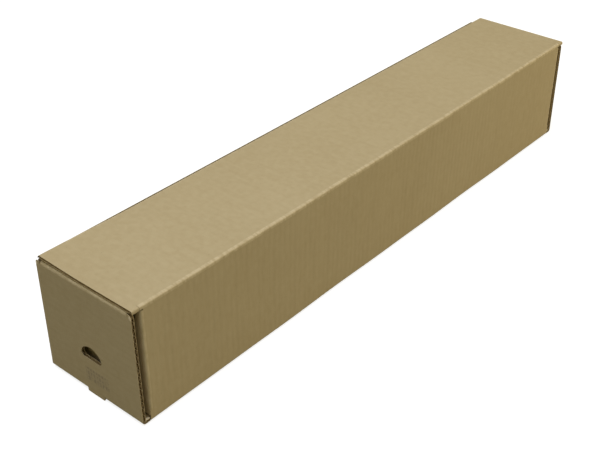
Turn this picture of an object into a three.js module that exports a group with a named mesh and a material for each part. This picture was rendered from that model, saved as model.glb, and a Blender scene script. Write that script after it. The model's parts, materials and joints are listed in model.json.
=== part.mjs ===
// A square postal tube for rolled drawings, folded from one blank of corrugated board.
//
// The blank is a chain of panels joined at creases: the base, two long side walls, a
// full-length lid hinged on one wall, and at each end a flap hinged on the base with two
// dust flaps behind it. The lid and both end flaps finish in a tuck that slips inside the
// tube. Each panel is one solid, so that each crease can be a hinge.
//
// Frame, in millimetres: X runs across the tube, from the wall that the lid tucks behind
// to the wall that it hinges on. Y runs along the tube, and +Z is up. The origin is on
// the table, under the middle of the tube.

import * as THREE from 'three';

// Board and the room inside the tube.
const boardThickness = 3;
const innerLength = 610;
const innerWidth = 105;
const innerHeight = 105;

// Clearances.
const creaseGap = 0.3; // between two panels that turn on one crease
const dustToFlapGap = 5; // the end flap stands this far off the dust flaps
const dustMeetingGap = 1.2; // between the tips of two dust flaps
const tuckEndGap = 3.2; // between the lid's tuck and an end flap's tuck

// Lid, and its tuck.
const lidEndInset = 0.5; // its ends stop this far short of the end flaps' outer faces
const lidTuckDepth = 30;
const lidTuckLean = THREE.MathUtils.degToRad(10); // it leans in from the wall
const lidTuckTaper = 8;
const lidTuckCorner = 12;

// End flaps and their tucks.
const flapSideInset = 0.5; // the flap is this much narrower, each side, at its crease
const flapTaper = 0.5; // and this much more at its top
const flapCorner = 5;
const endTuckDepth = 20;
const endTuckSideInset = 6;
const endTuckTaper = 7;
const endTuckCorner = 8;
const endTuckLean = THREE.MathUtils.degToRad(8); // it dips under the lid

// Finger hole in an end flap: a half moon with its flat side down.
const holeWidth = 24;
const holeHeight = 13;
const holeCorner = 2.5;
const holeRise = 35; // from the underside of the base to the flat side

// Lip left standing in the crease under an end flap, and the slot it was cut from.
const lipWidth = 20;
const lipDrop = 3;
const lipCorner = 1;
const slotClearance = 0.5;

// Dust flaps.
const dustLowerInset = 2; // above the floor of the tube
const dustUpperInset = 12; // below the underside of the lid
const dustTaper = 3;
const dustCorner = 6;

// Relief cut at the foot of each side wall, beside the end crease.
const reliefLength = 5;
const reliefHeight = 3;

// Sizes that follow from the ones above.
const outerHalfWidth = innerWidth / 2 + boardThickness;
const wallHalfLength = innerLength / 2 + boardThickness;
const outerHeight = innerHeight + 2 * boardThickness;
const flapInnerFace = wallHalfLength + dustToFlapGap;
const lidHalfLength = flapInnerFace + boardThickness - lidEndInset;
const baseHalfLength = flapInnerFace - creaseGap;
const lidUnderside = outerHeight - boardThickness;
const lidFrontEdge = innerWidth / 2 - creaseGap;
// A crease that opens outwards turns near the outer liner. At this depth from both outer
// faces, the liner round the corner keeps its length when the crease is laid flat.
const outerPivotDepth = boardThickness * (1 - Math.PI / 4);
// Radius that the lip's inner corner sweeps as its flap is let down.
const lipSweep = Math.hypot(boardThickness - outerPivotDepth, lipDrop + outerPivotDepth);
const slotDepth = lipSweep - (boardThickness - outerPivotDepth) + slotClearance;

const arcSteps = 5;

const outsideKraft = { color: 0xab9970, roughness: 0.86, metalness: 0 };
const insideKraft = { color: 0x8f7d55, roughness: 0.9, metalness: 0 };

// A closed outline through the given corners, [across, up, radius], going anticlockwise.
function outline(corners) {
  const shape = new THREE.Shape();
  const count = corners.length;
  corners.forEach(([u, v, radius = 0], index) => {
    const corner = new THREE.Vector2(u, v);
    const before = new THREE.Vector2(...corners[(index + count - 1) % count]);
    const after = new THREE.Vector2(...corners[(index + 1) % count]);
    const toBefore = before.sub(corner).normalize();
    const toAfter = after.sub(corner).normalize();
    const halfAngle = Math.acos(THREE.MathUtils.clamp(toBefore.dot(toAfter), -1, 1)) / 2;
    const trim = radius / Math.tan(halfAngle);
    const start = corner.clone().addScaledVector(toBefore, trim);
    const end = corner.clone().addScaledVector(toAfter, trim);
    if (index === 0) {
      shape.moveTo(start.x, start.y);
    } else {
      shape.lineTo(start.x, start.y);
    }
    if (radius > 0) {
      shape.quadraticCurveTo(corner.x, corner.y, end.x, end.y);
    }
  });
  shape.closePath();
  return shape;
}

// A panel of board cut to an outline in its own plane.
function panel(name, shape, paper) {
  const settings = { depth: boardThickness, bevelEnabled: false, curveSegments: arcSteps };
  const geometry = new THREE.ExtrudeGeometry(shape, settings);
  const mesh = new THREE.Mesh(geometry, new THREE.MeshStandardMaterial(paper));
  mesh.name = name;
  return mesh;
}

// Corners of a flap that narrows from its crease to its free edge, which lies at `reach`.
function taperedFlap(halfWidth, reach, taper, radius) {
  return [
    [-halfWidth, creaseGap],
    [halfWidth, creaseGap],
    [halfWidth - taper, reach, radius],
    [-halfWidth + taper, reach, radius],
  ];
}

// The base runs under the walls' ends to the end flaps. A slot in each end clears the lip.
function basePanel() {
  const halfWidth = innerWidth / 2;
  const endHalfWidth = outerHalfWidth - flapSideInset;
  const endStep = wallHalfLength + creaseGap;
  const slotHalfWidth = lipWidth / 2 + slotClearance;
  const slotFloor = flapInnerFace - slotDepth;
  const quarter = [
    [halfWidth, endStep],
    [endHalfWidth, endStep],
    [endHalfWidth, baseHalfLength],
    [slotHalfWidth, baseHalfLength],
    [slotHalfWidth, slotFloor],
  ];
  const mirrored = (signX, signY) => quarter.map(([x, y]) => [signX * x, signY * y]);
  const corners = [
    ...mirrored(1, 1),
    ...mirrored(-1, 1).reverse(),
    ...mirrored(-1, -1),
    ...mirrored(1, -1).reverse(),
  ];
  return panel('base_panel', outline(corners), outsideKraft);
}

// A side wall, standing on its long edge, with its foot relieved at both ends.
function sideWall(name, height) {
  const corners = [
    [-wallHalfLength + reliefLength, 0],
    [wallHalfLength - reliefLength, 0],
    [wallHalfLength, reliefHeight],
    [wallHalfLength, height],
    [-wallHalfLength, height],
    [-wallHalfLength, reliefHeight],
  ];
  const wall = panel(name, outline(corners), outsideKraft);
  const across = new THREE.Vector3(1, 0, 0);
  const along = new THREE.Vector3(0, 1, 0);
  const up = new THREE.Vector3(0, 0, 1);
  wall.quaternion.setFromRotationMatrix(new THREE.Matrix4().makeBasis(along, up, across));
  return wall;
}

function lidPanel() {
  const corners = [
    [-lidFrontEdge, -lidHalfLength],
    [outerHalfWidth, -lidHalfLength],
    [outerHalfWidth, lidHalfLength],
    [-lidFrontEdge, lidHalfLength],
  ];
  const lid = panel('lid_panel', outline(corners), outsideKraft);
  lid.position.z = lidUnderside;
  return lid;
}

// The lid's tuck hangs from the inner corner of its crease and leans in from the wall, so
// that its lower edge clears the wall as the lid swings up.
function lidTuck() {
  const halfLength = flapInnerFace - endTuckDepth - tuckEndGap;
  const corners = taperedFlap(halfLength, lidTuckDepth, lidTuckTaper, lidTuckCorner);
  const tuck = panel('lid_tuck', outline(corners), insideKraft);
  const along = new THREE.Vector3(0, -1, 0);
  const down = new THREE.Vector3(0, 0, -1);
  const across = new THREE.Vector3(1, 0, 0);
  tuck.quaternion.setFromRotationMatrix(new THREE.Matrix4().makeBasis(along, down, across));
  tuck.position.x = -boardThickness;

  const crease = new THREE.Group();
  crease.add(tuck);
  crease.rotation.y = -lidTuckLean;
  crease.position.set(-lidFrontEdge + boardThickness, 0, lidUnderside);
  return crease;
}

function fingerHole() {
  const half = holeWidth / 2;
  const hole = new THREE.Path();
  hole.moveTo(-half + holeCorner, holeRise);
  hole.lineTo(half - holeCorner, holeRise);
  hole.quadraticCurveTo(half, holeRise, half, holeRise + holeCorner);
  const crown = holeHeight - holeCorner;
  hole.absellipse(0, holeRise + holeCorner, half, crown, 0, Math.PI, false);
  hole.quadraticCurveTo(-half, holeRise, -half + holeCorner, holeRise);
  return hole;
}

// An end flap, with the lip that stays in its plane below the crease.
function endFlap(name) {
  const foot = outerHalfWidth - flapSideInset;
  const top = foot - flapTaper;
  const height = lidUnderside - creaseGap;
  const lip = lipWidth / 2;
  const shape = outline([
    [-foot, 0],
    [-lip, 0],
    [-lip, -lipDrop, lipCorner],
    [lip, -lipDrop, lipCorner],
    [lip, 0],
    [foot, 0],
    [top, height, flapCorner],
    [-top, height, flapCorner],
  ]);
  shape.holes.push(fingerHole());
  const flap = panel(name, shape, outsideKraft);
  flap.rotation.x = Math.PI / 2;
  flap.position.y = -flapInnerFace;
  return flap;
}

// The tuck of an end flap reaches in over the dust flaps, dipping away from the lid.
function endTuck(name) {
  const halfWidth = outerHalfWidth - endTuckSideInset;
  const corners = taperedFlap(halfWidth, endTuckDepth, endTuckTaper, endTuckCorner);
  const tuck = panel(name, outline(corners), insideKraft);

  const crease = new THREE.Group();
  crease.add(tuck);
  crease.rotation.x = -endTuckLean;
  crease.position.set(0, -flapInnerFace, lidUnderside - creaseGap - boardThickness);
  return crease;
}

// A dust flap, folded in from the end of a side wall. `side` is +1 on the hinge wall.
function dustFlap(name, side) {
  const reach = innerWidth / 2 - dustMeetingGap / 2;
  const foot = boardThickness + dustLowerInset;
  const head = lidUnderside - dustUpperInset;
  const corners = [
    [creaseGap, foot],
    [reach, foot + dustTaper, dustCorner],
    [reach, head - dustTaper, dustCorner],
    [creaseGap, head],
  ];
  const placed = corners.map(([fromWall, up, radius]) => {
    return [side * (innerWidth / 2 - fromWall), up, radius];
  });
  if (side > 0) {
    placed.reverse();
  }
  const flap = panel(name, outline(placed), insideKraft);
  flap.rotation.x = Math.PI / 2;
  flap.position.y = -innerLength / 2;
  return flap;
}

// One end of the tube, built as the near end. `hinge` is the side its hinge wall is on.
function tubeEnd(place, hinge) {
  const end = new THREE.Group();
  end.add(endFlap(`${place}_end_flap`));
  end.add(endTuck(`${place}_end_tuck`));
  end.add(dustFlap(`${place}_hinge_side_dust_flap`, hinge));
  end.add(dustFlap(`${place}_tuck_side_dust_flap`, -hinge));
  return end;
}

function drawingTube() {
  const tube = new THREE.Group();
  tube.add(basePanel());

  const hingeWall = sideWall('hinge_wall', lidUnderside - creaseGap);
  hingeWall.position.x = innerWidth / 2;
  tube.add(hingeWall);

  const tuckWall = sideWall('tuck_wall', lidUnderside);
  tuckWall.position.x = -outerHalfWidth;
  tube.add(tuckWall);

  tube.add(lidPanel());
  tube.add(lidTuck());

  tube.add(tubeEnd('near', 1));
  const farEnd = tubeEnd('far', -1);
  farEnd.rotation.z = Math.PI;
  tube.add(farEnd);

  tube.position.z = lipDrop; // the two lips are the lowest points
  return tube;
}

const group = new THREE.Group();
group.add(drawingTube());

export default group;
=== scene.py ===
# %% [markdown]
# # A postal tube for rolled drawings
#
# This box is one blank of corrugated board, folded into a long square tube. Corrugated
# board is three papers glued together: a smooth liner, a wavy paper called the fluting,
# and a second liner. Almost everything that makes such a box look real comes from that
# build: raw edges that show the waves, faint stripes where the waves print through the
# liner, soft rounded creases, and panels that never lie quite flat.
#
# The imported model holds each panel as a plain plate. Here each plate gives way to a
# sheet of real corrugated board, and each crease between two plates gets a piece of
# bent board of its own.

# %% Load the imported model
import json
import math

import bmesh
import bpy
import numpy as np
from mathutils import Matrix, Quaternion, Vector

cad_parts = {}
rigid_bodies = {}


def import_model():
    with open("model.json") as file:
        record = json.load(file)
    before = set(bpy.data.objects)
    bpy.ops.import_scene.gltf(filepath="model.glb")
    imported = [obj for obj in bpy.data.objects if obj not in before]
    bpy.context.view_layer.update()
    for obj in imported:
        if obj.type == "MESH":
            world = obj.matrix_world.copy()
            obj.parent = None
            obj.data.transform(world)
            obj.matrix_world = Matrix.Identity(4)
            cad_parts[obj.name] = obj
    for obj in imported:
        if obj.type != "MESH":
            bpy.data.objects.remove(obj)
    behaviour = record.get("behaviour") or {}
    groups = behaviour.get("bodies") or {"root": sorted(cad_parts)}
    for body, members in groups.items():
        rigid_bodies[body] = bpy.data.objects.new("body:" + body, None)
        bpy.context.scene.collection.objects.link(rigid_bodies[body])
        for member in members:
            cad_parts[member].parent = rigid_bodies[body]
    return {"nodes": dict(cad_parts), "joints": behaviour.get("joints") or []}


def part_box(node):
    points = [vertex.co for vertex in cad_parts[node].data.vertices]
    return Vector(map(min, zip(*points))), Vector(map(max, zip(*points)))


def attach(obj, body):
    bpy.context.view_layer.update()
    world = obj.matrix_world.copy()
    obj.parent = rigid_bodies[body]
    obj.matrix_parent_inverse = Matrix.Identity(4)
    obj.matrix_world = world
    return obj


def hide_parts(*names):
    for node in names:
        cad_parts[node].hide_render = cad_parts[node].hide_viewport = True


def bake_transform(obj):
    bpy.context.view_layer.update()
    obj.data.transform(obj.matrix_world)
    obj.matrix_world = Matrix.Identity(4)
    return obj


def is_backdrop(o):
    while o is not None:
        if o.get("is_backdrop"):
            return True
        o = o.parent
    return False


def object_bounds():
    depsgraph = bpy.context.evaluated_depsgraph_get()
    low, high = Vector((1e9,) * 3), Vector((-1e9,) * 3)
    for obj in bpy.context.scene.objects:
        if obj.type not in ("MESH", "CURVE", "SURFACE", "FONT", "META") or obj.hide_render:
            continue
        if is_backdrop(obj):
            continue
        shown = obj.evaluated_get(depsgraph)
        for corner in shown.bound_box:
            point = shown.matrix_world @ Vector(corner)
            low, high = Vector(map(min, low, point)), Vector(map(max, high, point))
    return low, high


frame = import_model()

for name in ("Cube", "Light", "Camera"):
    if name in bpy.data.objects:
        bpy.data.objects.remove(bpy.data.objects[name])
cad_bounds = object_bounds()
print("packed box", [tuple(round(v, 4) for v in corner) for corner in cad_bounds])

# %% [markdown]
# ## Sizes
#
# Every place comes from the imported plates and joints, so the looks follow the model when
# a size changes. What the model doesn't hold, such as the weight of the papers, is named
# here. Blender works in metres, so a millimetre gets a name as well.

# %% Read the plates and the crease lines
MM = 0.001
base_low, base_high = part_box("base_panel")
lid_low, lid_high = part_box("lid_panel")
wall_low, wall_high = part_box("hinge_wall")
flap_low, flap_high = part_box("near_end_flap")
lid_tuck_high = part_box("lid_tuck")[1]
end_tuck_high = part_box("near_end_tuck")[1]
dust_low, dust_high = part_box("near_hinge_side_dust_flap")

board = base_high.z - base_low.z
joints = {joint["name"]: joint for joint in frame["joints"]}
lid_tuck_pivot = Vector(joints["lid_tuck_crease"]["pos_m"])
end_tuck_pivot = Vector(joints["near_tuck_crease"]["pos_m"])
dust_pivot = Vector(joints["near_hinge_side_dust_crease"]["pos_m"])
print("board", round(board / MM, 2), "mm, lid", round((lid_high.y - lid_low.y) / MM, 1), "mm long")

# %% Name what the papers measure
FLUTE_PITCH = 6.5 * MM
LINER = 0.36 * MM
FLUTING = 0.26 * MM
WASHBOARD = 0.018 * MM
CRUSHED = 0.35
SHARP_CREASE = 4.6
ROUND_CREASE = 2.15
SCORED = 0.78
SCORE_WIDTH = 4 * MM
WAVE_LEFT = 0.3
STEPS_PER_FLUTE = 8
SMOOTH_BELOW = math.radians(42)

# %% [markdown]
# ## Shader maths as Python
#
# A node tree is easier to read as an expression than as a picture. `Value` wraps one
# socket, and its operators add Math nodes, so `1 - mask * 0.5` builds what it says.
# `Graph.node` adds any other node: its type, its settings, then its inputs. The same two
# classes build the materials and the Geometry Nodes tree.

# %% Wrap sockets and trees
class Value:
    """A socket that can be used in a Python expression."""

    def __init__(self, graph, socket):
        self.graph = graph
        self.socket = socket

    def math(self, operation, *others):
        return self.graph.math(operation, self, *others)

    def __add__(self, other):
        return self.math("ADD", other)

    def __radd__(self, other):
        return self.graph.math("ADD", other, self)

    def __sub__(self, other):
        return self.math("SUBTRACT", other)

    def __rsub__(self, other):
        return self.graph.math("SUBTRACT", other, self)

    def __mul__(self, other):
        return self.math("MULTIPLY", other)

    def __rmul__(self, other):
        return self.graph.math("MULTIPLY", other, self)

    def __gt__(self, other):
        return self.math("GREATER_THAN", other)

    def __lt__(self, other):
        return self.math("LESS_THAN", other)

    def __truediv__(self, other):
        return self.math("DIVIDE", other)

    def __rtruediv__(self, other):
        return self.graph.math("DIVIDE", other, self)


class Graph:
    """A node tree that is written as code."""

    def __init__(self, tree):
        self.tree = tree

    def node(self, kind, settings=None, inputs=None, output=0):
        made = self.tree.nodes.new(kind)
        for name, setting in (settings or {}).items():
            setattr(made, name, setting)
        for key, given in (inputs or {}).items():
            if isinstance(given, Value):
                self.tree.links.new(given.socket, made.inputs[key])
            else:
                made.inputs[key].default_value = given
        return Value(self, made.outputs[output] if made.outputs else None)

    def also(self, value, output):
        """Another output of the node that a value comes from."""
        return Value(self, value.socket.node.outputs[output])

    def math(self, operation, *values):
        return self.node("ShaderNodeMath", {"operation": operation}, dict(enumerate(values)))

    def vector(self, operation, *values):
        return self.node("ShaderNodeVectorMath", {"operation": operation}, dict(enumerate(values)))

    def scaled(self, direction, amount):
        inputs = {"Vector": direction, "Scale": amount}
        return self.node("ShaderNodeVectorMath", {"operation": "SCALE"}, inputs)

    def mix(self, factor, first, second, blend="MIX"):
        settings = {"data_type": "RGBA", "blend_type": blend}
        return self.node("ShaderNodeMix", settings, {0: factor, 6: first, 7: second}, output=2)

    def noise(self, vector, scale, detail=3.0, roughness=0.5):
        inputs = {"Vector": vector, "Scale": scale, "Detail": detail, "Roughness": roughness}
        return self.node("ShaderNodeTexNoise", None, inputs)

    def between(self, value, low, high):
        """0 below low, 1 above high, and smooth in between."""
        inputs = {"Value": value, "From Min": low, "From Max": high}
        return self.node("ShaderNodeMapRange", {"interpolation_type": "SMOOTHSTEP"}, inputs)


# %% [markdown]
# ## Kraft paper
# Its troughs are also painted darker in the colour, as painted shade.
#
# Brown kraft is unbleached wood fibre pressed into a sheet. Close up it is a felt of
# short fibres that mostly lie along the direction the paper machine ran, which is across
# the flutes. From further off it is an even tan with soft cloudy patches. Over the
# fluting the liner is glued to each crest, so it sinks a little between them: that is
# the washboard that shows in raking light.
#
# Each sheet carries an attribute called `grain`, with the distance across the flutes in
# X and along them in Y. The pattern is laid out on that, so that fibres and washboard
# turn with each flap, as they do on the real blank.

# %% Write the kraft finish
def linear(red, green, blue):
    """A colour given as 0 to 255 screen values, in the linear numbers that shaders use."""
    return tuple((channel / 255) ** 2.2 for channel in (red, green, blue)) + (1.0,)


def new_material(name):
    material = bpy.data.materials.new(name)
    material.use_nodes = True
    material.node_tree.nodes.clear()
    return material, Graph(material.node_tree)


def finish_material(graph, colour, roughness, height, height_scale):
    normal = graph.node("ShaderNodeBump", None, {"Height": height, "Distance": height_scale})
    inputs = {"Base Color": colour, "Roughness": roughness, "Normal": normal}
    shader = graph.node("ShaderNodeBsdfPrincipled", None, inputs)
    shader.socket.node.inputs["Specular IOR Level"].default_value = 0.3
    graph.node("ShaderNodeOutputMaterial", None, {"Surface": shader})


STAMP_MIDDLE = Vector((0.004, 0, base_low.z + 18 * MM))
STAMP_WIDTH, STAMP_HEIGHT = 27 * MM, 14 * MM
BAR_PITCH, ROW_PITCH = 3.4 * MM, 5.2 * MM
KNOCK = 2.6 * MM
KNOCKED_CORNERS = (
    Vector((flap_high.x, -flap_low.y, flap_high.z - board)),
    Vector((flap_high.x, wall_high.y + board, base_high.z)),
)


def kraft(name, pale, dark, washboard, streaky, wear_and_highlight=0.0, stamped=False):
    material, graph = new_material(name)
    grain = graph.node("ShaderNodeAttribute", {"attribute_name": "grain"}, output=1)
    place = graph.node("ShaderNodeTexCoord", output=3)
    across = graph.node("ShaderNodeSeparateXYZ", None, {"Vector": grain})

    clouds = graph.noise(place, 9.0, 3.0, 0.5)
    mottle = graph.noise(place, 150.0, 3.0, 0.6)
    streaks = graph.noise(graph.vector("MULTIPLY", grain, (420.0, 60.0, 1.0)), 1.0, 3.0, 0.6)
    fibres = graph.noise(graph.vector("MULTIPLY", grain, (4200.0, 900.0, 1.0)), 1.0, 2.0, 0.5)

    uneven = graph.noise(graph.vector("MULTIPLY", grain, (90.0, 14.0, 1.0)), 1.0, 3.0, 0.6)
    crest = graph.math("SINE", across * (2 * math.pi / FLUTE_PITCH)) * 0.5 + 0.5
    # Painted shade: the colour darkens between the crests, where the washboard's troughs fall in
    # shade.
    washboard_shade = (1 - crest) * graph.between(uneven, 0.35, 0.7) * washboard

    shade = clouds * 0.34 + mottle * (0.66 - streaky) + streaks * streaky
    colour = graph.mix(graph.between(shade, 0.30, 0.70), dark, pale)
    colour = graph.mix(graph.between(fibres, 0.62, 0.74) * 0.20, colour, pale)
    speck = graph.noise(place, 800.0, 2.0, 0.5)
    colour = graph.mix(graph.between(speck, 0.69, 0.75) * 0.25, colour, linear(96, 76, 44))
    colour = graph.mix(washboard_shade, colour, linear(92, 74, 42))
    colour = graph.mix(scuff(graph, place, mottle), colour, linear(232, 218, 186))
    if stamped:
        colour = stamp(graph, place, colour)
    # Paler rubbed patches: partly wear along a fold, partly a painted highlight on the crease.
    if wear_and_highlight:
        rubbed_and_highlight = graph.between(streaks * 0.5 + mottle * 0.5, 0.38, 0.60) * wear_and_highlight
        colour = graph.mix(rubbed_and_highlight, colour, linear(206, 190, 154))

    roughness = 0.82 + mottle * 0.10
    height = fibres * 0.3 + mottle * 0.5 + streaks * 0.5 + crest * (washboard * 4)
    finish_material(graph, colour, roughness, height, 0.07 * MM)
    return material


def scuff(graph, place, ragged):
    """1 where a corner has been knocked and pale fibres show."""
    from_centre = graph.vector("ABSOLUTE", place)
    distance = {"operation": "DISTANCE"}
    torn = 0.0
    for corner in KNOCKED_CORNERS:
        ends = {0: from_centre, 1: corner}
        away = graph.node("ShaderNodeVectorMath", distance, ends, output=1)
        torn = torn + (1 - graph.between(away + ragged * KNOCK * 2, KNOCK * 1.6, KNOCK * 2.2))
    return torn


def stamp(graph, place, colour):
    """Faint grey bars in a block, as a converter's machine leaves on a flap."""
    across = graph.node("ShaderNodeSeparateXYZ", None, {"Vector": place})
    up = graph.also(across, 2)
    patchy = graph.noise(place, 260.0, 3.0, 0.6)
    from_middle = graph.math("ABSOLUTE", across - STAMP_MIDDLE.x)
    from_height = graph.math("ABSOLUTE", up - STAMP_MIDDLE.z)
    inside = (from_middle < STAMP_WIDTH / 2) * (from_height < STAMP_HEIGHT / 2)
    bars = graph.math("SINE", across * (2 * math.pi / BAR_PITCH) + up * 40) > -0.35
    rows = graph.math("SINE", up * (2 * math.pi / ROW_PITCH)) > -0.55
    ink = inside * (0.30 + bars * rows * 0.70) * graph.between(patchy, 0.28, 0.58) * 0.52
    return graph.mix(ink, colour, linear(120, 108, 96))


PALE, DARK = linear(179, 163, 127), linear(171, 154, 117)
# The washboard shade is painted at a different strength on the lid, the walls and the ends.
outside_liner = kraft("outside kraft", PALE, DARK, 0.02, 0.12)
wall_liner = kraft("wall kraft", PALE, DARK, 0.055, 0.30)
end_liner = kraft("end kraft", PALE, DARK, 0.04, 0.20)
stamped_liner = kraft("stamped kraft", PALE, DARK, 0.04, 0.20, stamped=True)
# The crease kraft is a little paler and has paler rubbed patches: partly wear along the fold, partly
# a painted highlight on the crease.
creased_liner = kraft("creased kraft", linear(182, 166, 130), DARK, 0.03, 0.30, wear_and_highlight=0.5)
inside_liner = kraft("inside kraft", linear(160, 141, 102), linear(144, 126, 87), 0.06, 0.30)

# %% [markdown]
# ## Fluting and raw edges
#
# The fluting is a thinner paper, and it is only seen end-on at a cut. Its colour, which
# also covers the liners' faces inside the flutes, is painted darker than the liners, as
# painted shade in the hollows. A cut edge is rougher and paler than the face, because the
# blade tears the fibres out instead of pressing them down. Both get a coarse version of
# the same felt.

# %% Write the fluting and the cut edge
def rough_paper(name, pale, dark, scale):
    material, graph = new_material(name)
    place = graph.node("ShaderNodeTexCoord", output=3)
    felt = graph.noise(place, scale, 4.0, 0.7)
    fuzz = graph.noise(place, scale * 4, 2.0, 0.6)
    colour = graph.mix(graph.between(felt * 0.7 + fuzz * 0.3, 0.36, 0.64), dark, pale)
    finish_material(graph, colour, 0.88 + fuzz * 0.08, felt + fuzz * 0.5, 0.15 * MM)
    return material


# Painted shade: the fluting's colour is darker than the liners' kraft, and it also lines the insides
# of the flute tunnels.
shaded_fluting_paper = rough_paper("shaded fluting paper", linear(152, 130, 90), linear(116, 96, 62), 420.0)
cut_edge = rough_paper("cut edge", linear(204, 187, 148), linear(140, 120, 82), 700.0)

# %% [markdown]
# ## Corrugated board from a rule
#
# A sheet of corrugated board follows a rule: three papers, one of them a wave, swept
# along the blank. So one Geometry Nodes tree makes them all. It is given a chain of
# points that runs along the flutes, with the direction out of the board stored at each
# point, and it sweeps that chain at right angles to the flutes. A straight chain gives a
# flat panel, and a chain that turns a corner gives a crease.
#
# Each paper starts as a cube that is cut into a grid and is only one step thick. Each of
# its points is then moved to its place on the chain, out along the sweep, and up or down
# by the wave. A cube is closed, so the paper is a closed sheet, and a boolean can trim it
# to the die-cut outline, which is handed in as a solid. The faces are numbered first, so
# that the last nodes know which finish each one takes: outside, between the liners, or
# inside. A face with no number was made by the knife.

# %% Sweep one paper along the board
TREE_INPUTS = (
    ("Geometry", "NodeSocketGeometry"),
    ("Sweep", "NodeSocketVector"),
    ("Start", "NodeSocketFloat"),
    ("Shift", "NodeSocketFloat"),
    ("Length", "NodeSocketFloat"),
    ("Pitch", "NodeSocketFloat"),
    ("Steps per flute", "NodeSocketFloat"),
    ("Liner thickness", "NodeSocketFloat"),
    ("Fluting thickness", "NodeSocketFloat"),
    ("Board thickness", "NodeSocketFloat"),
    ("Wave", "NodeSocketFloat"),
    ("Washboard", "NodeSocketFloat"),
    ("Outline", "NodeSocketObject"),
    ("Cut edge", "NodeSocketMaterial"),
    ("Outer liner", "NodeSocketMaterial"),
    ("Fluting", "NodeSocketMaterial"),
    ("Inner liner", "NodeSocketMaterial"),
)
PAPERS = ("Outer liner", "Fluting", "Inner liner")


def stored(graph, name, kind):
    return graph.node("GeometryNodeInputNamedAttribute", {"data_type": kind}, {"Name": name})


def sweep_paper(graph, given, above, below, thickness, level, swing):
    """One paper: a thin closed slab, bent along the chain and the wave.

    `above` and `below` number its two faces."""
    chain = given["Geometry"]
    count = graph.node("GeometryNodeAttributeDomainSize", None, {"Geometry": chain})
    steps = graph.math("ROUND", given["Length"] / given["Pitch"] * given["Steps per flute"])
    cells = {"Vertices X": count, "Vertices Y": steps + 1, "Vertices Z": 2}
    slab = graph.node("GeometryNodeMeshCube", None, cells)

    facing = graph.node("GeometryNodeInputNormal")
    tilt = graph.node("ShaderNodeSeparateXYZ", None, {"Vector": facing}, output=2)
    number = (tilt > 0.5) * above + (tilt < -0.5) * below
    settings = {"data_type": "INT", "domain": "FACE"}
    inputs = {"Geometry": slab, "Name": "paper", "Value": number}
    slab = graph.node("GeometryNodeStoreNamedAttribute", settings, inputs)

    x = graph.node("ShaderNodeSeparateXYZ", None, {0: graph.node("GeometryNodeInputPosition")})
    y = graph.also(x, 1)
    z = graph.also(x, 2)
    column = graph.math("ROUND", (x + 0.5) * (count - 1))
    position = graph.node("GeometryNodeInputPosition")

    def from_chain(value):
        inputs = {"Geometry": chain, "Value": value, "Index": column}
        return graph.node("GeometryNodeSampleIndex", {"data_type": "FLOAT_VECTOR"}, inputs)

    place = from_chain(position)
    across = from_chain(stored(graph, "across", "FLOAT_VECTOR"))

    along = given["Start"] + (y + 0.5) * given["Length"]
    wave = graph.math("SINE", (along + given["Shift"]) * (2 * math.pi) / given["Pitch"])
    height = level + swing * wave + z * thickness
    swept = graph.vector("ADD", place, graph.scaled(given["Sweep"], along))
    target = graph.vector("ADD", swept, graph.scaled(across, height))
    return graph.node("GeometryNodeSetPosition", None, {"Geometry": slab, "Position": target})


# %% Trim the papers, join them and give each its material
def board_tree():
    tree = bpy.data.node_groups.new("corrugated board", "GeometryNodeTree")
    for name, kind in TREE_INPUTS:
        tree.interface.new_socket(name, in_out="INPUT", socket_type=kind)
    tree.interface.new_socket("Geometry", in_out="OUTPUT", socket_type="NodeSocketGeometry")
    graph = Graph(tree)
    entry = graph.node("NodeGroupInput")
    given = {name: graph.also(entry, index) for index, (name, _) in enumerate(TREE_INPUTS)}

    liner = given["Liner thickness"]
    liner_level = (given["Board thickness"] - liner) * 0.5
    room = given["Board thickness"] - liner * 2 - given["Fluting thickness"]
    outside, between, inside = 1, 2, 3
    sheets = (
        (outside, between, liner, liner_level, given["Washboard"]),
        (between, between, given["Fluting thickness"], 0.0, room * 0.5 * given["Wave"]),
        (between, inside, liner, liner_level * -1, given["Washboard"]),
    )
    outline = graph.node("GeometryNodeObjectInfo", None, {"Object": given["Outline"]}, output=4)
    joined = graph.node("GeometryNodeJoinGeometry")
    for details in sheets:
        sheet = sweep_paper(graph, given, *details)
        settings = {"operation": "INTERSECT", "solver": "MANIFOLD"}
        trimmed = graph.node("GeometryNodeMeshBoolean", settings)
        boolean = trimmed.socket.node
        for part in (sheet, outline):
            tree.links.new(part.socket, boolean.inputs[1])
        tree.links.new(trimmed.socket, joined.socket.node.inputs[0])

    real = graph.node("GeometryNodeRealizeInstances", None, {0: joined})
    finished = graph.node("GeometryNodeSetMaterial", None, {0: real, "Material": given["Cut edge"]})
    for number, name in enumerate(PAPERS, start=1):
        is_paper = graph.node(
            "FunctionNodeCompare",
            {"data_type": "INT", "operation": "EQUAL"},
            {2: stored(graph, "paper", "INT"), 3: number},
        )
        inputs = {0: finished, "Selection": is_paper, "Material": given[name]}
        finished = graph.node("GeometryNodeSetMaterial", None, inputs)
    graph.node("NodeGroupOutput", None, {0: finished})
    return tree


corrugated = board_tree()
sockets = {
    item.name: item.identifier
    for item in corrugated.interface.items_tree
    if item.in_out == "INPUT"
}
print("board tree has", len(corrugated.nodes), "nodes")

# %% [markdown]
# ## Chains and outlines
#
# A chain is laid down the middle of the board. It goes straight along a panel with
# `run`, and it turns a crease with `bend`. At a crease the scoring wheel has crushed the
# inside of the board, and the outer liner keeps its length, so the bend keeps its outer
# radius and thins from the inside.
#
# The outline is the shape that the die cuts. It is drawn in the plane of the panel and
# pushed through it as a solid, with any hole in it left open.

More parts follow.
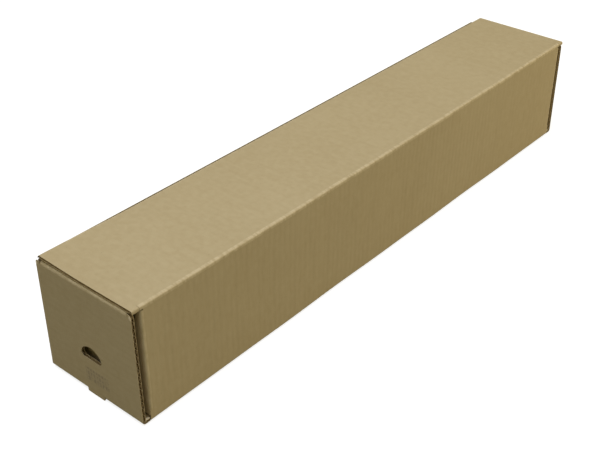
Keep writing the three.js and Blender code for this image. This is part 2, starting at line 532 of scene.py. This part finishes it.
# %% Lay a chain
class Chain:
    """Points along the flutes, with the direction out of the board at each."""

    def __init__(self):
        self.points = []
        self.across = []

    def add(self, point, across):
        if not self.points or (point - self.points[-1]).length > 1e-6:
            self.points.append(point)
            self.across.append(across)

    def run(self, start, end, outward, step=12 * MM, scored=False):
        """A straight stretch along the middle of the board.

        `scored` thins its first few millimetres from the inside, as beside a crease."""
        length = (end - start).length
        steps = max(1, round(length / step))
        stops = [length * index / steps for index in range(steps + 1)]
        if scored:
            stops = sorted(stops + [SCORE_WIDTH * index / 4 for index in range(1, 5)])
        for stop in stops:
            thin = 1 - (1 - SCORED) * max(0, 1 - stop / SCORE_WIDTH) * scored
            middle = start.lerp(end, stop / length) + outward * board * (1 - thin) / 2
            self.add(middle, outward * thin)
        return self

    def bend(self, corner, first, last, sharp, at_ends=0.97, steps=10):
        """A crease about its inner corner, from facing `first` to facing `last`.

        Its outside is a superellipse: `sharp` 2 is a circle, and more is squarer."""
        angle = first.angle(last)
        axis = first.cross(last).normalized()
        for index in range(steps + 1):
            share = index / steps
            outward = Quaternion(axis, angle * share) @ first
            thin = at_ends - CRUSHED * math.sin(math.pi * share)
            quarter = share * math.pi / 2
            full = (math.cos(quarter) ** sharp + math.sin(quarter) ** sharp) ** (-1 / sharp)
            radius = full - thin / 2
            self.add(corner + outward * board * radius, outward * thin)
        return self

    def mesh(self, sweep):
        """The chain as a mesh, running the way that turns its faces outwards."""
        middle = len(self.points) // 2
        tangent = self.points[middle] - self.points[middle - 1]
        order = 1 if tangent.cross(sweep).dot(self.across[middle]) > 0 else -1
        points = self.points[::order]
        mesh = bpy.data.meshes.new("chain")
        mesh.from_pydata(points, [(i, i + 1) for i in range(len(points) - 1)], [])
        across = mesh.attributes.new("across", "FLOAT_VECTOR", "POINT")
        across.data.foreach_set("vector", np.array(self.across[::order]).ravel())
        return mesh


# %% Draw an outline and push it through the board
def rounded(corners, steps=5):
    """A closed outline through corners of (across, up, radius)."""
    outline = []
    for index, (u, v, radius) in enumerate(corners):
        corner = Vector((u, v))
        if radius == 0:
            outline.append(tuple(corner))
            continue
        before = (Vector(corners[index - 1][:2]) - corner).normalized()
        after = (Vector(corners[(index + 1) % len(corners)][:2]) - corner).normalized()
        trim = radius / math.tan(before.angle(after) / 2)
        start = corner + before * trim
        end = corner + after * trim
        for step in range(steps + 1):
            t = step / steps
            outline.append(tuple(start * (1 - t) ** 2 + corner * 2 * t * (1 - t) + end * t * t))
    return outline


def die(loops, origin, right, up):
    """A solid with this outline, and holes for further loops, right through the board."""
    through = right.cross(up).normalized()
    shape = bmesh.new()
    edges = []
    for loop in loops:
        verts = [shape.verts.new(origin + right * u + up * v - through * 4 * board) for u, v in loop]
        edges += [shape.edges.new((verts[i - 1], verts[i])) for i in range(len(verts))]
    face_set = bmesh.ops.triangle_fill(shape, use_beauty=True, edges=edges)["geom"]
    faces = [item for item in face_set if isinstance(item, bmesh.types.BMFace)]
    grown = bmesh.ops.extrude_face_region(shape, geom=faces)["geom"]
    moved = [item for item in grown if isinstance(item, bmesh.types.BMVert)]
    bmesh.ops.translate(shape, verts=moved, vec=through * 8 * board)
    bmesh.ops.recalc_face_normals(shape, faces=shape.faces)
    mesh = bpy.data.meshes.new("die")
    shape.to_mesh(mesh)
    shape.free()
    made = bpy.data.objects.new("die", mesh)
    bpy.context.scene.collection.objects.link(made)
    return made


# %% [markdown]
# ## Out of true
#
# A folded box is never square. The hinge wall is held at its ends and bellies out in the
# middle, and takes the lid's edge with it. The lid's free corner springs up a little,
# because nothing holds it down, and an end flap leans out on its crease. All of that is
# one function of a point's place, and every piece goes through it, so neighbours stay
# joined. It moves points by 1 or 2 mm at most.

# %% Bend the whole box a little
BELLY = 1.6 * MM
SAG = 0.3 * MM
RIPPLE = 0.16 * MM
CORNER_LIFT = 1.5 * MM
NEAR_LEAN = 0.3 * MM
FAR_LEAN = 0.25 * MM
half_length = lid_high.y
half_width = wall_high.x


def smooth(value, low, high):
    t = np.clip((value - low) / (high - low), 0.0, 1.0)
    return t * t * (3 - 2 * t)


def out_of_true(points, bodies):
    """The places of these points once the box has settled."""
    x, y, z = points.T
    middle = 1 - np.clip(np.abs(y) / half_length, 0, 1) ** 2
    height = smooth(z, base_low.z, lid_high.z)
    side = (x + half_width) / (2 * half_width)
    moved = points.copy()
    moved[:, 0] += BELLY * middle * height * side
    moved[:, 2] -= SAG * middle * height
    ripple = np.sin(y * 31 + 0.6) * np.sin(z * 38 + x * 33 + 0.4)
    ripple += np.sin(y * 57 + x * 20 + 2.1) * 0.5
    moved[:, 0] += RIPPLE * ripple * middle * side * 2
    moved[:, 2] += RIPPLE * ripple * middle * height * np.sin(np.clip(side, 0, 1) * math.pi)
    if "lid" in bodies or "lid_tuck" in bodies:
        to_corner = smooth(-x, 0.0, half_width) * smooth(-y, 0.7 * half_length, half_length)
        moved[:, 2] += CORNER_LIFT * to_corner
    for end, sign, lean in (("near", -1, NEAR_LEAN), ("far", 1, FAR_LEAN)):
        if f"{end}_flap" in bodies or f"{end}_tuck" in bodies:
            moved[:, 1] += sign * lean * smooth(z, base_high.z, lid_low.z)
    return moved


# %% [markdown]
# ## From chain to board
#
# `corrugate` gives the tree its inputs, turns the result into a plain mesh, writes the
# `grain` that the kraft finish reads, and lets the sheet settle. A panel rides on its
# body. A crease lies between two bodies and is made folded, as at rest. It rides on
# neither body, so it stays folded when a flap is opened.

# %% Make one sheet
X, Y, Z = Vector((1, 0, 0)), Vector((0, 1, 0)), Vector((0, 0, 1))
made_boards = []


def corrugate(
    name,
    chain,
    sweep,
    start,
    end,
    cut,
    bodies,
    grain,
    wave=1.0,
    outer=outside_liner,
    shift=0.0,
    slot="outside_liner",
):
    """`cut` is the die, and `grain` holds the directions across and along the flutes."""
    sheet = bpy.data.objects.new(name, chain.mesh(sweep))
    bpy.context.scene.collection.objects.link(sheet)
    inputs = {
        "Sweep": sweep,
        "Start": start,
        "Shift": shift,
        "Length": end - start,
        "Pitch": FLUTE_PITCH,
        "Steps per flute": float(STEPS_PER_FLUTE),
        "Liner thickness": LINER,
        "Fluting thickness": FLUTING,
        "Board thickness": board,
        "Wave": wave,
        "Washboard": WASHBOARD * wave,
        "Outline": cut,
        "Cut edge": cut_edge,
        "Outer liner": outer,
        "Fluting": shaded_fluting_paper,
        "Inner liner": inside_liner,
    }
    modifier = sheet.modifiers.new("corrugate", "NODES")
    modifier.node_group = corrugated
    for label, given in inputs.items():
        modifier[sockets[label]] = given
    graph = bpy.context.evaluated_depsgraph_get()
    mesh = bpy.data.meshes.new_from_object(sheet.evaluated_get(graph))
    sheet.modifiers.clear()
    sheet.data = mesh
    bpy.data.objects.remove(cut)

    points = np.zeros(len(mesh.vertices) * 3, np.float32)
    mesh.vertices.foreach_get("co", points)
    points = points.reshape(-1, 3)
    laid = np.stack([points @ np.array(grain[0]), points @ np.array(grain[1]), points[:, 0] * 0], 1)
    mesh.attributes.new("grain", "FLOAT_VECTOR", "POINT").data.foreach_set("vector", laid.ravel())
    settled = out_of_true(points, bodies)
    mesh.vertices.foreach_set("co", settled.astype(np.float32).ravel())
    mesh.shade_smooth()
    mesh.set_sharp_from_angle(angle=SMOOTH_BELOW)
    made_boards.append(sheet)
    return sheet


def facing(node, towards):
    """The normal of a plate's large face on that side."""
    faces = frame["nodes"][node].data.polygons
    return max(faces, key=lambda face: face.area * (face.normal.dot(towards) > 0.5)).normal.copy()


def reach_of(node, origin, direction):
    """How far a plate reaches from a point, in a direction."""
    return max((v.co - origin).dot(direction) for v in frame["nodes"][node].data.vertices)


def panel(name, node, body, chain, sweep, start, end, cut, grain, **more):
    sheet = corrugate(name, chain, sweep, start, end, cut, (body,), grain, **more)
    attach(sheet, body)
    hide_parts(node)
    return sheet


def crease(name, bodies, corner, first, last, sweep, start, end, grain, wave=0.0, sharp=ROUND_CREASE):
    """Bent board between two bodies, from facing `first` on one to facing `last`."""
    chain = Chain().bend(corner, first, last, sharp, at_ends=SCORED)
    reach = 2 * board
    side = first.cross(last).normalized()
    middle = (first + last).normalized()
    low, high = sorted((side.dot(sweep) * start, side.dot(sweep) * end))
    window = [(low, -reach), (high, -reach), (high, reach), (low, reach)]
    cut = die([window], corner - side * corner.dot(side), side, side.cross(middle))
    sheet = corrugate(name, chain, sweep, start, end, cut, bodies, grain, wave, creased_liner)
    corner + first * board
    corner + last * board
    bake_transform(sheet)
    return sheet


# %% [markdown]
# ## The base and the two side walls
#
# The base lies under the ends of the walls and runs on to the end flaps. Each end has a
# slot, which the end flap's lip was cut from. The walls turn up from the base at a
# crease that stays folded for good, so each wall and its crease are one sheet. The
# flutes run round the tube, because a tube has to be stiff that way, and its length is
# then measured across them. The hinge wall reaches up to the lid. The other wall stops a
# little lower, to leave room for the fold of the lid's tuck.

# %% Fold the base and the walls
SLOT_WITHIN = 15 * MM
FOLD_DROP = 1.1 * MM
base_corners = [v.co for v in frame["nodes"]["base_panel"].data.vertices]
slot_corners = [corner for corner in base_corners if abs(corner.x) < SLOT_WITHIN]
slot_half_width = max(abs(corner.x) for corner in slot_corners)
slot_floor = min(abs(corner.y) for corner in slot_corners)
inner_x = wall_low.x
outer_x = wall_high.x
wall_end = wall_high.y
flap_inside = -flap_high.y
flap_half_width = flap_high.x
CLEAR = 0.3 * MM

base_middle = base_low.z + board / 2
base_left = Vector((-flap_half_width, 0, base_middle))
base_right = Vector((flap_half_width, 0, base_middle))
quarter = [
    (inner_x, wall_end + CLEAR),
    (flap_half_width, wall_end + CLEAR),
    (flap_half_width, flap_inside),
    (slot_half_width, flap_inside),
    (slot_half_width, slot_floor),
]
base_outline = quarter + [(-u, v) for u, v in quarter[::-1]]
base_outline += [(-u, -v) for u, v in base_outline]
flutes_along_y = (Y, X)
panel(
    "base_board",
    "base_panel",
    "root",
    Chain().run(base_left, base_right, -Z),
    Y,
    -flap_inside,
    flap_inside,
    die([base_outline], Vector((0, 0, base_middle)), X, Y),
    flutes_along_y,
)

fold_low = dust_low.z
fold_high = lid_low.z - FOLD_DROP
fold_y = -dust_pivot.y
walls = (("hinge_wall", 1, lid_low.z), ("tuck_wall", -1, fold_high))
for node, side, top in walls:
    half_wall = [
        (wall_end, -board),
        (wall_end, fold_low - CLEAR),
        (fold_y, fold_low - CLEAR),
        (fold_y, top),
    ]
    corner = Vector((side * inner_x, 0, base_high.z))
    foot = corner + X * side * board / 2
    chain = Chain().bend(corner, -Z, X * side, SHARP_CREASE)
    chain.run(foot, Vector((foot.x, 0, lid_low.z)), X * side)
    cut = die([half_wall + [(-u, v) for u, v in half_wall[::-1]]], foot, Y, Z)
    grain = (Y, Z + X * side)
    panel(f"{node}_board", node, "root", chain, Y, -wall_end, wall_end, cut, grain, outer=wall_liner)
print(len(made_boards), "fixed boards")

# %% [markdown]
# ## The lid
#
# The lid hinges on the top of one wall. Its crease runs across the flutes, so it is the
# stiff kind: the flutes are crushed along it, and little of their wave is left. The other
# long edge folds down into a tuck that leans in, so that it finds its way inside the
# wall. Past the ends of the wall and of the tuck the lid's edges are free, and they keep
# the curl of the crease.
#
# The wave of the fluting is shifted along the lid, so that the cut at the near end meets
# it at its lowest, against the inner liner.

# %% Make the lid, its crease and its tuck
CURL_ROOM = 0.8 * MM
LID_TUCK_TAPER, LID_TUCK_RADIUS = 8 * MM, 12 * MM


def tuck_outline(half_length, depth, taper, radius):
    """A tuck that narrows from its crease and has two round corners."""
    return rounded([
        (-half_length, 0, 0),
        (half_length, 0, 0),
        (half_length - taper, depth, radius),
        (-half_length + taper, depth, radius),
    ])


lid_middle = lid_low.z + board / 2
lid_corner = Vector((lid_tuck_pivot.x, 0, lid_tuck_pivot.z))
hinge_corner = Vector((inner_x, 0, lid_low.z))
tuck_half_length = lid_tuck_high.y
ear = outer_x + CURL_ROOM
free_edge = lid_corner.x - board - CURL_ROOM
flutes_on_lid = round(lid_high.y / FLUTE_PITCH) + 0.25
half_lid = [
    (ear, lid_high.y),
    (ear, wall_end + CLEAR),
    (inner_x, wall_end + CLEAR),
]
half_tuck_side = [
    (lid_corner.x, tuck_half_length + CLEAR),
    (free_edge, tuck_half_length + CLEAR),
    (free_edge, lid_high.y),
]
lid_outline = [(u, -v) for u, v in half_lid] + half_lid[::-1]
lid_outline += half_tuck_side[::-1] + [(u, -v) for u, v in half_tuck_side]
lid_chain = Chain().bend(lid_corner, -X, Z, ROUND_CREASE)
lid_chain.run(Vector((lid_corner.x, 0, lid_middle)), Vector((inner_x, 0, lid_middle)), Z)
lid_chain.bend(hinge_corner, Z, X, SHARP_CREASE)
panel(
    "lid_board",
    "lid_panel",
    "lid",
    lid_chain,
    Y,
    lid_low.y,
    lid_high.y,
    die([lid_outline], Vector((0, 0, lid_middle)), X, Y),
    flutes_along_y,
    shift=lid_high.y - flutes_on_lid * FLUTE_PITCH,
)
crease(
    "lid_crease_board",
    ("root", "lid"),
    hinge_corner,
    X,
    Z,
    Y,
    -wall_end,
    wall_end,
    (Y, Z - X),
    WAVE_LEFT,
    SHARP_CREASE,
)

tuck_out = facing("lid_tuck", -X)
tuck_down = tuck_out.cross(Y)
tuck_depth = reach_of("lid_tuck", lid_corner, tuck_down)
crease(
    "lid_tuck_crease_board",
    ("lid", "lid_tuck"),
    lid_corner,
    Z,
    tuck_out,
    Y,
    -tuck_half_length,
    tuck_half_length,
    (Y, X + Z),
    WAVE_LEFT,
)
tuck_head = lid_corner + tuck_out * board / 2
outline = tuck_outline(tuck_half_length, tuck_depth, LID_TUCK_TAPER, LID_TUCK_RADIUS)
panel(
    "lid_tuck_board",
    "lid_tuck",
    "lid_tuck",
    Chain().run(tuck_head, tuck_head + tuck_down * tuck_depth, tuck_out, scored=True),
    Y,
    -tuck_half_length,
    tuck_half_length,
    die([outline], lid_corner, Y, tuck_down),
    (Y, tuck_down),
    slot="inside_liner",
)

# %% [markdown]
# ## The dust flaps
#
# Each side wall carries a dust flap at each end, folded in behind the end flap. The
# flutes run up the wall, so they run up the dust flap too, and this crease lies along
# them. A crease along the flutes folds easily. Beside the wall the flap keeps the wall's
# full height, and past that shoulder it is cut down to leave room for the end tuck.

# %% Fold in the four dust flaps
ENDS = (("near", -1), ("far", 1))
SIDES = (("hinge", 1), ("tuck", -1))
DUST_TAPER, DUST_RADIUS = 3 * MM, 6 * MM
SHOULDER_RADIUS, SHOULDER_SLANT = 2 * MM, 1 * MM
dust_tip = dust_low.x
shoulder = end_tuck_high.x - SHOULDER_SLANT
for place, end in ENDS:
    for wall, side in SIDES:
        body = f"{place}_{wall}_side_dust"
        corner = Vector((side * inner_x, end * fold_y, 0))
        out, wall_out = Y * end, X * side
        grain = (wall_out - out, Z)
        crease(
            f"{body}_crease",
            ("root", body),
            corner,
            wall_out,
            out,
            Z,
            fold_low,
            fold_high,
            grain,
            sharp=SHARP_CREASE,
        )
        outline = rounded([
            (side * inner_x, fold_low, 0),
            (side * dust_tip, fold_low + DUST_TAPER, DUST_RADIUS),
            (side * dust_tip, dust_high.z - DUST_TAPER, DUST_RADIUS),
            (side * shoulder, dust_high.z, SHOULDER_RADIUS),
            (side * (shoulder + SHOULDER_SLANT), fold_high, SHOULDER_SLANT),
            (side * inner_x, fold_high, 0),
        ])
        low, high = sorted((side * dust_tip, side * inner_x))
        middle = out * (fold_y + board / 2)
        chain = Chain().run(middle + Z * fold_low, middle + Z * fold_high, out)
        cut = die([outline], middle, X, Z)
        name, node = f"{body}_board", f"{body}_flap"
        panel(name, node, body, chain, X, low, high, cut, (X, Z), slot="inside_liner")
print(len(made_boards), "boards so far")

# %% [markdown]
# ## The end flaps
#
# An end flap turns up from the base on a soft crease and ends in a tuck that slips in
# under the lid. A lip was cut out of its crease, so it stays in the plane of the flap and
# stands a little below the base. A half-moon hole near the bottom takes a fingertip.
# Here the flutes lie across the flap, so its upright edges are the ones that show waves.

# %% Measure the lip and the finger hole
LIP_BELOW = 20 * MM
HOLE_RADIUS = 2.5 * MM
flap_corners = [v.co for v in frame["nodes"]["near_end_flap"].data.vertices]
lip_half_width = max(abs(corner.x) for corner in flap_corners if corner.z < base_low.z / 2)
inside_corners = [c for c in flap_corners if abs(c.x) < 0.3 * flap_half_width and c.z > LIP_BELOW]
hole_corners = [c for c in inside_corners if c.z < 0.6 * flap_high.z]
hole_half = max(corner.x for corner in hole_corners)
hole_low = min(corner.z for corner in hole_corners)
hole_crown = max(corner.z for corner in hole_corners)
print("hole", round(2 * hole_half / MM, 1), "x", round((hole_crown - hole_low) / MM, 1), "mm")


def half_moon(half, low, crown, corner=HOLE_RADIUS, steps=20):
    """An outline with a flat foot and a round crown."""
    rise = crown - low - corner
    angles = [math.pi * step / steps for step in range(steps + 1)]
    top = [(half * math.cos(a), low + corner + rise * math.sin(a)) for a in angles]
    return [(-half + corner, low), (half - corner, low)] + top


# %% Fold up the two end flaps with their tucks
LIP_WEAR, LIP_RADIUS = 1.5 * MM, 1.2 * MM
HINGE_SIDE_RADIUS, TUCK_SIDE_RADIUS = 5 * MM, 2.5 * MM
END_TUCK_TAPER, END_TUCK_RADIUS = 7 * MM, 8 * MM
HEAD_INSET = 0.5 * MM
flap_top = end_tuck_pivot.z + board
end_tuck_half = end_tuck_high.x
flap_head = flap_half_width - HEAD_INSET
notch = end_tuck_half + CLEAR


def half_flap(head_radius):
    """One side of the flap's outline, from the lip up to the crease of the tuck."""
    return [
        (lip_half_width, flap_low.z + LIP_WEAR, LIP_RADIUS),
        (lip_half_width, base_high.z, 0),
        (flap_half_width, base_high.z, 0),
        (flap_head, flap_top, head_radius),
        (notch, flap_top, 0),
        (notch, end_tuck_pivot.z, 0),
    ]


left_side = [(-u, v, radius) for u, v, radius in half_flap(TUCK_SIDE_RADIUS)[::-1]]
flap_outline = rounded(half_flap(HINGE_SIDE_RADIUS) + left_side)
hole = half_moon(hole_half, hole_low, hole_crown)
for place, end in ENDS:
    flap, tuck = f"{place}_flap", f"{place}_tuck"
    out = Y * end
    grain = (Z - out, X)
    foot = out * flap_inside + Z * base_high.z
    for wall, side in SIDES:
        name = f"{flap}_{wall}_side_crease"
        low, high = sorted((side * slot_half_width, side * flap_half_width))
        crease(name, ("root", flap), foot, -Z, out, X, low, high, grain)

    middle = out * (flap_inside + board / 2)
    chain = Chain().run(middle - X * flap_half_width, middle + X * flap_half_width, out)
    cut = die([flap_outline, hole], middle, X, Z)
    outer = stamped_liner if place == "near" else end_liner
    name, node = f"{flap}_board", f"{place}_end_flap"
    panel(name, node, flap, chain, Z, flap_low.z, flap_top, cut, (Z, X), outer=outer)

    head = out * flap_inside + Z * end_tuck_pivot.z
    tuck_out = facing(f"{place}_end_tuck", Z)
    inward = tuck_out.cross(X) * -end
    name, low, high = f"{tuck}_crease", -end_tuck_half, end_tuck_half
    crease(name, (flap, tuck), head, out, tuck_out, X, low, high, grain)
    depth = reach_of(f"{place}_end_tuck", head, inward)
    outline = tuck_outline(end_tuck_half, depth, END_TUCK_TAPER, END_TUCK_RADIUS)
    middle = head + tuck_out * board / 2
    chain = Chain().run(middle - X * end_tuck_half, middle + X * end_tuck_half, tuck_out)
    cut = die([outline], head, X, inward)
    name, node = f"{tuck}_board", f"{place}_end_tuck"
    panel(name, node, tuck, chain, inward, 0.0, depth, cut, (inward, X), slot="inside_liner")
print(len(made_boards), "boards in all")

# %% [markdown]
# ## Camera, light and floor
#
# The view is a long lens from above one corner. One large lamp overhead lights the lid
# at about the level where a colour shows as it was written. A second lamp, low, warm
# and far to the right, gives the side wall its gradient, and a weak world fills the rest.
#
# The floor is white to the camera and grey to everything else, so it makes a clean
# background without throwing light up at the box. It still takes the box's shadow.

# %% Place the camera
AIM = Vector((0.0139, -0.0811, 0.0536))
AZIMUTH, ELEVATION = math.radians(40.41), math.radians(33.29)
DISTANCE, LENS = 0.95, 62.6
back = Vector((
    math.sin(AZIMUTH) * math.cos(ELEVATION),
    -math.cos(AZIMUTH) * math.cos(ELEVATION),
    math.sin(ELEVATION),
))
camera = bpy.data.objects.new("camera", bpy.data.cameras.new("camera"))
bpy.context.scene.collection.objects.link(camera)
camera.location = AIM + back * DISTANCE
camera.rotation_euler = (-back).to_track_quat("-Z", "Y").to_euler()
camera.data.lens = LENS
bpy.context.scene.camera = camera


# %% Hang the lamps
def lamp(name, place, aim, size, power, colour):
    data = bpy.data.lights.new(name, "AREA")
    data.size = size
    data.energy = power
    data.color = colour
    made = bpy.data.objects.new(name, data)
    bpy.context.scene.collection.objects.link(made)
    made.location = place
    made.rotation_euler = (Vector(aim) - Vector(place)).to_track_quat("-Z", "Y").to_euler()
    return made


lamp("overhead", (0.0, -0.40, 1.6), (0.0, -0.1, 0.0), 1.5, 22.0, (0.755, 0.80, 1.0))
lamp("far right", (1.33, 1.75, 0.55), (0.05, 0.1, 0.05), 0.8, 21.3, (1.0, 0.86, 0.60))

# %% Write the floor and the world
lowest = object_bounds()[0].z


def seen_directly(graph):
    """1 where the camera, a reflection or a clear surface looks straight at it."""
    path = graph.node("ShaderNodeLightPath")
    rays = ("Is Camera Ray", "Is Glossy Ray", "Is Transmission Ray")
    seen = [graph.also(path, ray) for ray in rays]
    return graph.math("MAXIMUM", graph.math("MAXIMUM", seen[0], seen[1]), seen[2])


floor_material, graph = new_material("floor")
glow = graph.node("ShaderNodeEmission", None, {"Color": (1, 1, 1, 1), "Strength": 0.80})
white = graph.node("ShaderNodeBsdfDiffuse", None, {"Color": (0.40, 0.40, 0.40, 1)})
clean = graph.node("ShaderNodeAddShader", None, {0: glow, 1: white})
grey = graph.node("ShaderNodeBsdfDiffuse", None, {"Color": (0.22, 0.22, 0.22, 1)})
surface = graph.node("ShaderNodeMixShader", None, {0: seen_directly(graph), 1: grey, 2: clean})
graph.node("ShaderNodeOutputMaterial", None, {"Surface": surface})

floor_mesh = bpy.data.meshes.new("floor")
floor_mesh.from_pydata([(-9, -9, 0), (9, -9, 0), (9, 9, 0), (-9, 9, 0)], [], [(0, 1, 2, 3)])
floor_mesh.materials.append(floor_material)
floor = bpy.data.objects.new("floor", floor_mesh)
bpy.context.scene.collection.objects.link(floor)
floor.location.z = lowest
floor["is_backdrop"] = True

world = bpy.data.worlds.new("studio")
world.use_nodes = True
world.node_tree.nodes.clear()
graph = Graph(world.node_tree)
seen = seen_directly(graph)
colour = graph.mix(seen, (1.0, 0.90, 0.48, 1), (1, 1, 1, 1))
sky = graph.node("ShaderNodeBackground", None, {"Color": colour, "Strength": 0.36 + seen * 0.64})
graph.node("ShaderNodeOutputWorld", None, {"Surface": sky})
bpy.context.scene.world = world
bpy.context.scene.view_settings.view_transform = "Standard"

# %% Compare the two boxes and finish
seen_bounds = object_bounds()
boxes = {"cad": [list(c) for c in cad_bounds], "visual": [list(c) for c in seen_bounds]}
print({name: [[round(v, 4) for v in corner] for corner in box] for name, box in boxes.items()})
